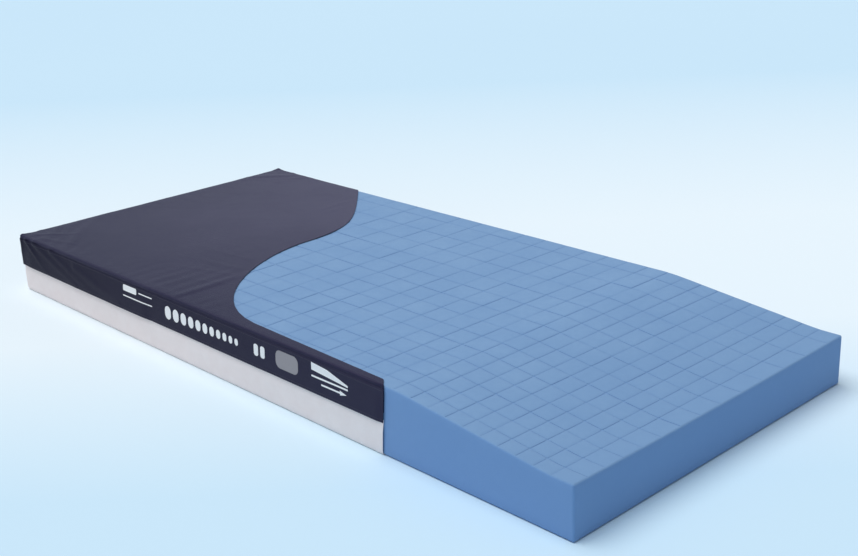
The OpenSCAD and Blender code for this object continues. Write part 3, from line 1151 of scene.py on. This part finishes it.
def make_zip_half(layer, side, field):
    """One half of the zip: its woven tape, and its coil's teeth along the edge that meets the other.
    field(x, y, z) is positive where the cover that carries it is cut away."""
    low, high = span(*layer_nodes(layer))
    outer_edge = high.z if side > 0 else low.z + HEM_OVER_TAPE
    inner_edge = low.z if side > 0 else high.z
    heights = sorted([outer_edge, (outer_edge + inner_edge) / 2, inner_edge], reverse=True)
    tape = wall_band(layer, heights, lambda x, y, z: TAPE_D)
    cut_away(tape, field, 0.6 * ZIP_ENDS_SHORT)
    make_skin(tape, layer, TAPE, 0.5 * MM)

    centre_z = (lower_zip_high.z + zip_low.z) / 2 + side * 1.1 * MM
    teeth = row_of_bars(
        layer + "_teeth", TOOTH_PITCH, centre_z, field, ZIP_ENDS_SHORT,
        lambda *_: (ZIP_D + TAPE_D) / 2, (4.0 * MM, 1.1 * MM, 1.3 * MM), True, TOOTH_PITCH / 4 * side,
    )
    in_zones(teeth, layer + "_coil", finisher(COIL))


# ---- Stitching and printed marks ----

STITCH_PITCH = 4.2 * MM


def make_stitches(name, z, distance, field, short, material):
    """A row of thread stitches round the wall, standing on the fabric at that distance."""
    size = (3.0 * MM, 0.55 * MM, 0.5 * MM)
    threads = row_of_bars(name, STITCH_PITCH, z, field, short, distance, size)
    in_zones(threads, name, finisher(material))


def on_skin(bvh):
    """Distance outside the foam at which a ray from outside meets the fabric."""

    def distance(x, y, ox, oy, z):
        found = []
        for px, py, dx, dy in zip(x, y, ox, oy):
            start = Vector((px + 0.05 * dx, py + 0.05 * dy, z))
            hit = bvh.ray_cast(start, Vector((-dx, -dy, 0)), 0.06)[0]
            found.append(0.05 - (start - hit).length if hit else FLAP_OVER_COIL_D)
        return np.array(found)

    return distance


def rounded_bar(x, z, length, height, radius, steps=5):
    """Outline in x and z of a bar with rounded corners, from its head end and its middle height."""
    radius = min(radius, length / 2, height / 2)
    left, right = x + radius, x + length - radius
    low, high = z - height / 2 + radius, z + height / 2 - radius
    points = []
    for cx, cz, start in ((right, high, 0), (left, high, 90), (left, low, 180), (right, low, 270)):
        for k in range(steps + 1):
            a = math.radians(start + 90 * k / steps)
            points.append((cx + radius * math.cos(a), cz + radius * math.sin(a)))
    return points


def slice_up(bm, axis, low, high, step):
    """Cuts a mesh with planes across an axis at every step from low, so that it can follow a wall."""
    normal = [float(k == axis) for k in range(3)]
    for k in range(1, int((high - low) / step)):
        geom = bm.verts[:] + bm.edges[:] + bm.faces[:]
        plane = [(low + k * step) * c for c in normal]
        bmesh.ops.bisect_plane(bm, geom=geom, plane_co=plane, plane_no=normal)


def make_print(name, shapes, bvh, material):
    """Thin printed shapes laid on the near wall. Each shape is an outline in x and z."""
    bm = bmesh.new()
    for shape in shapes:
        bm.faces.new([bm.verts.new((x, NEAR - 0.01, z)) for x, z in shape])
    x_low, x_high = min(v.co.x for v in bm.verts), max(v.co.x for v in bm.verts)
    slice_up(bm, 0, x_low, x_high, 6 * MM)
    slice_up(bm, 2, flap_low.z, flap_high.z, 5 * MM)
    for v in bm.verts:
        hit = bvh.ray_cast(Vector((v.co.x, NEAR - 0.05, v.co.z)), Vector((0, 1, 0)), 0.08)[0]
        if hit:
            v.co.y = hit.y - 0.35 * MM
    bmesh.ops.recalc_face_normals(bm, faces=bm.faces[:])
    if sum(f.normal.y for f in bm.faces) > 0:
        bmesh.ops.reverse_faces(bm, faces=bm.faces[:])
    obj = new_object(name, [], [])
    replace_mesh(obj, bm)
    in_zones(obj, name, finisher(material, thickness=0.3 * MM))


# Where each printed mark starts along the near wall, and the middle height of the row of dots
SMALL_X, DOTS_X, PILLS_X, PATCH_X, WEDGE_X = -0.460, -0.270, 0.091, 0.171, 0.296
PRINT_Z = flap_low.z + 42 * MM
DOT_COUNT = 11
FIRST_DOT_R = 17 * MM
DOT_R_STEP = 0.85 * MM
DOT_GAP = 9 * MM


def bar(x, up, length, height, radius):
    """A rounded bar, all in millimetres but x: up is its middle's height over the row of dots."""
    return rounded_bar(x, PRINT_Z + up * MM, length * MM, height * MM, radius * MM)


def wedge_shape(*points):
    """An outline from places in millimetres along from the wedge's start and over the row of dots."""
    return [(WEDGE_X + along * MM, PRINT_Z + up * MM) for along, up in points]


def make_prints(bvh):
    """Plain marks where the real cover has its print: a block and bars, a row of dots, two pills, a
    patch, and a heel wedge over a bar and an arrow."""
    block = [
        bar(SMALL_X, 19, 62, 16, 4),
        bar(SMALL_X + 72 * MM, 18.5, 60, 3, 1),
        bar(SMALL_X, -1.5, 132, 3, 1),
    ]
    dots, x = [], DOTS_X
    for k in range(DOT_COUNT):
        r = FIRST_DOT_R - DOT_R_STEP * k
        dots.append(rounded_bar(x, PRINT_Z, 1.5 * r, 2 * r, 0.75 * r))
        x += 1.5 * r + DOT_GAP
    pills = [bar(PILLS_X + shift * MM, 2, 16, 28, 6) for shift in (0, 24)]
    wedge = [
        wedge_shape((0, 12), (119, 4), (119, 8), (52, 25), (0, 29)),
        bar(WEDGE_X, -1.5, 119, 4, 1.5),
        wedge_shape((32, -16.5), (93, -16.5), (93, -20), (114, -14.5), (93, -9), (93, -12.5), (32, -12.5)),
    ]
    make_print("plain_print_small", block, bvh, WHITE_PRINT)
    make_print("plain_print_dots", dots, bvh, WHITE_PRINT)
    make_print("plain_print_pills", pills, bvh, WHITE_PRINT)
    make_print("plain_print_wedge", wedge, bvh, WHITE_PRINT)
    make_print("plain_print_patch", [bar(PATCH_X, 3, 79, 42, 15)], bvh, GREY_PRINT)


make_foam()
make_fire_sock()
make_base_cover()
make_top_cover()
flap_bvh = make_flap()
make_zip_half("zip_upper", 1, uncovered)
make_zip_half("zip_lower", -1, past_end)
on_flap = on_skin(flap_bvh)
for name, z in (("flap_seam_stitches", flap_high.z - 5 * MM), ("flap_hem_stitches", flap_low.z + 6 * MM)):
    make_stitches(name, z, on_flap, uncovered, 2 * MM, THREAD)
make_stitches("tape_stitches", lower_zip_low.z + 5 * MM, lambda *_: TAPE_D + 0.1 * MM, past_end,
              ZIP_ENDS_SHORT + 2 * MM, TAPE)
make_prints(flap_bvh)

for name in ("zip_stop", "zip_slider", "zip_pull"):
    frame["nodes"][name].data.materials.clear()
    frame["nodes"][name].data.materials.append(METAL)


# ---- Floor, light and camera ----

CAMERA_AT = Vector((2.2982, -1.9749, 1.2160))
CAMERA_AZIMUTH, CAMERA_ELEVATION, CAMERA_ROLL = (math.radians(a) for a in (46.998, 19.653, -2.334))
CAMERA_LENS = 53.73


def make_floor():
    """Plain pale floor with a paler band across the view, from 2.2 m to 6.2 m in front of the camera: the
    band is a painted pool of light.
    """
    size = 90.0
    floor = new_object("floor", [(-size, -size, 0), (size, -size, 0), (size, size, 0), (-size, size, 0)],
                       [(0, 1, 2, 3)])
    n = Nodes("pale_floor")
    ahead = n.add("ShaderNodeVectorMath", Vector=n.place)
    ahead.operation = "DOT_PRODUCT"
    forward = Vector((-math.sin(CAMERA_AZIMUTH), math.cos(CAMERA_AZIMUTH), 0))
    n.put(ahead.inputs[1], forward)
    distance = n.math("SUBTRACT", ahead.outputs["Value"], forward.dot(CAMERA_AT))
    near_side, far_side = n.remap(distance, 2.2, 3.0), n.remap(distance, 3.9, 6.2, 1.0, 0.0)
    tone = n.noise(0.4, detail=1.0)
    colour = n.mix(tone, (0.62, 0.81, 0.95), (0.64, 0.83, 0.96))
    # Painted light: the paler band across the view
    colour = n.mix(n.math("MULTIPLY", near_side, far_side), colour, (0.86, 0.94, 0.99))
    floor.data.materials.append(n.set(Base_Color=colour, Roughness=0.9, Specular_IOR_Level=0.1))
    floor.location.z = -0.2 * MM


def make_lights():
    """One broad overhead light that leans towards the head and the near side, and a pale surround.
    The surround is brighter where it is seen or mirrored, as a studio's white walls are."""
    light = bpy.data.lights.new("key", "SUN")
    light.energy = 2.2
    light.angle = math.radians(50)
    key = add_to_scene("key", light)
    key.rotation_euler = Vector((-0.25, -0.20, 0.95)).to_track_quat("Z", "Y").to_euler()
    world = bpy.data.worlds.new("studio")
    world.use_nodes = True
    tree = world.node_tree
    background = tree.nodes["Background"]
    background.inputs["Color"].default_value = (0.80, 0.91, 1.0, 1.0)
    rays = tree.nodes.new("ShaderNodeLightPath").outputs
    seen = math_node(tree, "MAXIMUM", rays["Is Glossy Ray"], rays["Is Camera Ray"])
    put(tree, background.inputs["Strength"], math_node(tree, "MULTIPLY_ADD", seen, 0.55, 0.34))
    bpy.context.scene.world = world
    bpy.context.scene.view_settings.view_transform = "Standard"


def make_camera():
    azimuth, elevation, roll = CAMERA_AZIMUTH, CAMERA_ELEVATION, CAMERA_ROLL
    back = Vector((math.sin(azimuth) * math.cos(elevation),
                   -math.cos(azimuth) * math.cos(elevation), math.sin(elevation)))
    right = Vector((math.cos(azimuth), math.sin(azimuth), 0))
    up = back.cross(right)
    across = right * math.cos(roll) + up * math.sin(roll)
    upward = up * math.cos(roll) - right * math.sin(roll)
    data = bpy.data.cameras.new("camera")
    data.sensor_width = 36.0
    data.lens = CAMERA_LENS
    camera = add_to_scene("camera", data)
    turn = Matrix((across, upward, back)).transposed().to_4x4()
    camera.matrix_world = Matrix.Translation(CAMERA_AT) @ turn
    bpy.context.scene.camera = camera


make_floor()
make_lights()
make_camera()
